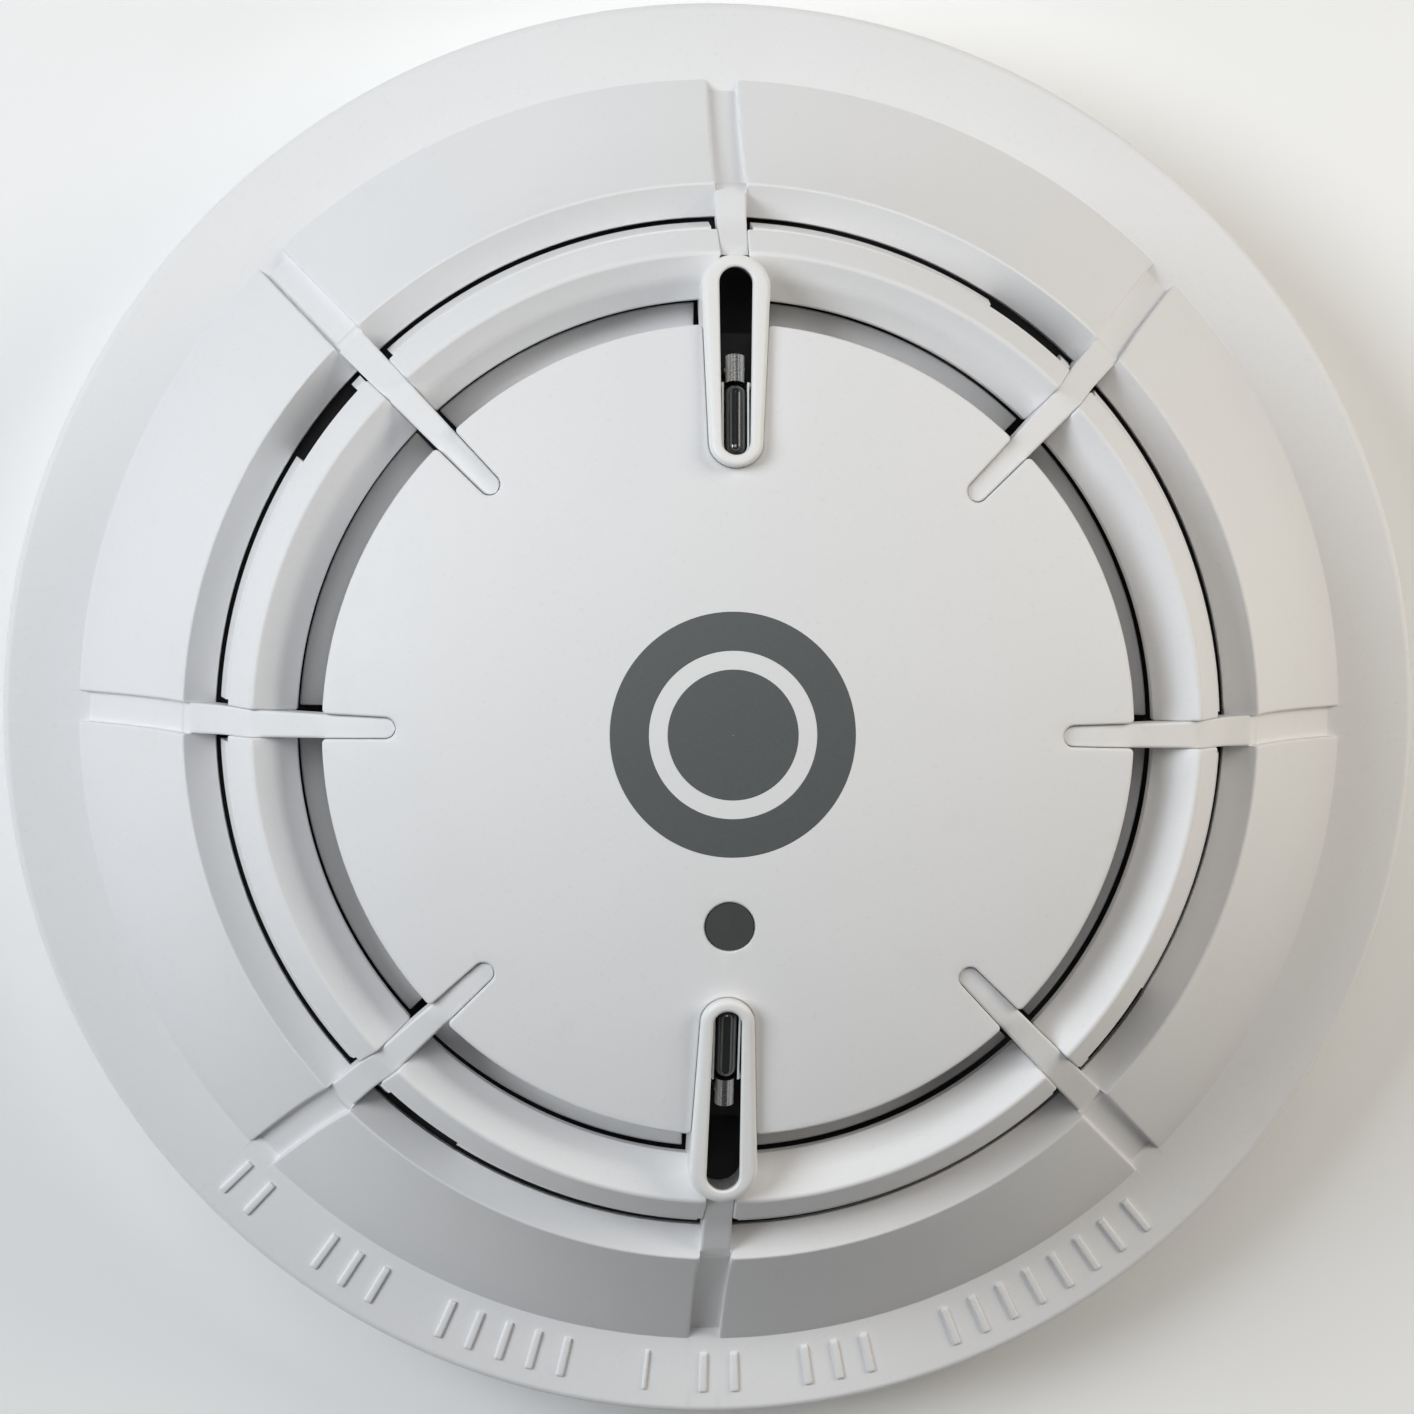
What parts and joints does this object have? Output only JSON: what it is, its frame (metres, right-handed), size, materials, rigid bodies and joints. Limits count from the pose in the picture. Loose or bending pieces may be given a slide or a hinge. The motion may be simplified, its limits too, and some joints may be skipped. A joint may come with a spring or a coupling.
{
  "type": "heat detector",
  "caption": "Low round ceiling heat detector: a ribbed, flared white head with a domed cap and two slotted sensor guards, twist-locked on a flat base with wiring terminals.",
  "frame": {"origin": "centre of the base's back face, the face that lies against the ceiling or wall", "axes": "+Z out of the mounting surface into the room; +Y to twelve o'clock on the face, where one sensor guard is; +X to three o'clock"},
  "size_m": [0.1, 0.1, 0.04],
  "materials": {
    "cover_plastic": "fine moulded texture, warm white",
    "guard_plastic": "smooth moulded white",
    "base_plastic": "moulded white",
    "badge_grey": "satin printed dark grey",
    "window_grey": "smoked window, satin",
    "terminal_steel": "zinc plated steel",
    "screw_steel": "zinc plated steel, yellow passivated",
    "contact_brass": "sprung brass, plain",
    "board_laminate": "green solder resist over glass laminate",
    "component_black": "moulded black",
    "capacitor_can": "plain can",
    "reed_glass": "clear greenish glass",
    "chip_ceramic": "matt",
    "led_body": "clear moulded",
    "clear_acrylic": "clear moulded",
    "switch_blue": "moulded",
    "rotor_cream": "moulded",
    "lead_tin": "tinned wire",
    "cradle_plastic": "translucent moulded",
    "bead_epoxy": "glossy black coating"
  },
  "bodies": {
    "base": {"mounting_base": "base_plastic", "terminal_strip_1": "terminal_steel", "terminal_strip_2": "terminal_steel", "terminal_strip_3": "terminal_steel", "terminal_strip_4": "terminal_steel", "locking_screw": "screw_steel"},
    "clamp_1": {"terminal_clamp_1": "terminal_steel"},
    "screw_1": {"terminal_screw_1": "screw_steel"},
    "clamp_2": {"terminal_clamp_2": "terminal_steel"},
    "screw_2": {"terminal_screw_2": "screw_steel"},
    "clamp_3": {"terminal_clamp_3": "terminal_steel"},
    "screw_3": {"terminal_screw_3": "screw_steel"},
    "clamp_4": {"terminal_clamp_4": "terminal_steel"},
    "screw_4": {"terminal_screw_4": "screw_steel"},
    "code_rotor_1": {"code_switch_rotor_1": "rotor_cream"},
    "code_rotor_2": {"code_switch_rotor_2": "rotor_cream"},
    "head": {"rear_housing": "base_plastic", "housing_screws": "screw_steel", "contact_blade_1": "contact_brass", "contact_blade_2": "contact_brass", "contact_blade_3": "contact_brass", "contact_blade_4": "contact_brass", "circuit_board": "board_laminate", "board_screws": "screw_steel", "microcontroller": "component_black", "capacitors": "capacitor_can", "reed_switch": "reed_glass", "chip_components": "chip_ceramic", "indicator_led": "led_body", "light_pipe": "clear_acrylic", "indicator_lens": "window_grey", "code_switch_body_1": "switch_blue", "code_switch_body_2": "switch_blue", "board_shield": "component_black", "thermistor_holder_1": "component_black", "thermistor_holder_2": "component_black", "thermistor_leads_1": "lead_tin", "thermistor_leads_2": "lead_tin", "thermistor_bead_1": "bead_epoxy", "thermistor_bead_2": "bead_epoxy", "bead_cradle_1": "cradle_plastic", "bead_cradle_2": "cradle_plastic", "sensor_guard_1": "guard_plastic", "sensor_guard_2": "guard_plastic", "outer_cover": "cover_plastic", "centre_cap": "cover_plastic", "badge": "badge_grey"}
  },
  "joints": [
    {"name": "head_twist", "type": "hinge", "parent": "base", "child": "head", "pos_m": [0, 0, 0.0082], "axis": [0, 0, 1], "range_deg": [0, 20]},
    {"name": "clamp_lift_1", "type": "slide", "parent": "base", "child": "clamp_1", "axis": [0, 0, 1], "range_m": [0, 0.00174]},
    {"name": "screw_turn_1", "type": "hinge", "parent": "clamp_1", "child": "screw_1", "pos_m": [0.01378, 0.03326, 0.0044], "axis": [0, 0, 1], "range_deg": [0, 1260]},
    {"name": "clamp_lift_2", "type": "slide", "parent": "base", "child": "clamp_2", "axis": [0, 0, 1], "range_m": [0, 0.00174]},
    {"name": "screw_turn_2", "type": "hinge", "parent": "clamp_2", "child": "screw_2", "pos_m": [-0.03326, 0.01378, 0.0044], "axis": [0, 0, 1], "range_deg": [0, 1260]},
    {"name": "clamp_lift_3", "type": "slide", "parent": "base", "child": "clamp_3", "axis": [0, 0, 1], "range_m": [0, 0.00174]},
    {"name": "screw_turn_3", "type": "hinge", "parent": "clamp_3", "child": "screw_3", "pos_m": [-0.01378, -0.03326, 0.0044], "axis": [0, 0, 1], "range_deg": [0, 1260]},
    {"name": "clamp_lift_4", "type": "slide", "parent": "base", "child": "clamp_4", "axis": [0, 0, 1], "range_m": [0, 0.00174]},
    {"name": "screw_turn_4", "type": "hinge", "parent": "clamp_4", "child": "screw_4", "pos_m": [0.03326, -0.01378, 0.0044], "axis": [0, 0, 1], "range_deg": [0, 1260]},
    {"name": "code_turn_1", "type": "hinge", "parent": "head", "child": "code_rotor_1", "pos_m": [0.013, 0, 0.0104], "axis": [0, 0, 1], "continuous": true},
    {"name": "code_turn_2", "type": "hinge", "parent": "head", "child": "code_rotor_2", "pos_m": [-0.013, 0, 0.0104], "axis": [0, 0, 1], "continuous": true}
  ],
  "couplings": [
    {"joint": "screw_turn_1", "follows": "clamp_lift_1", "rad_per_m": 12566},
    {"joint": "screw_turn_2", "follows": "clamp_lift_2", "rad_per_m": 12566},
    {"joint": "screw_turn_3", "follows": "clamp_lift_3", "rad_per_m": 12566},
    {"joint": "screw_turn_4", "follows": "clamp_lift_4", "rad_per_m": 12566}
  ]
}
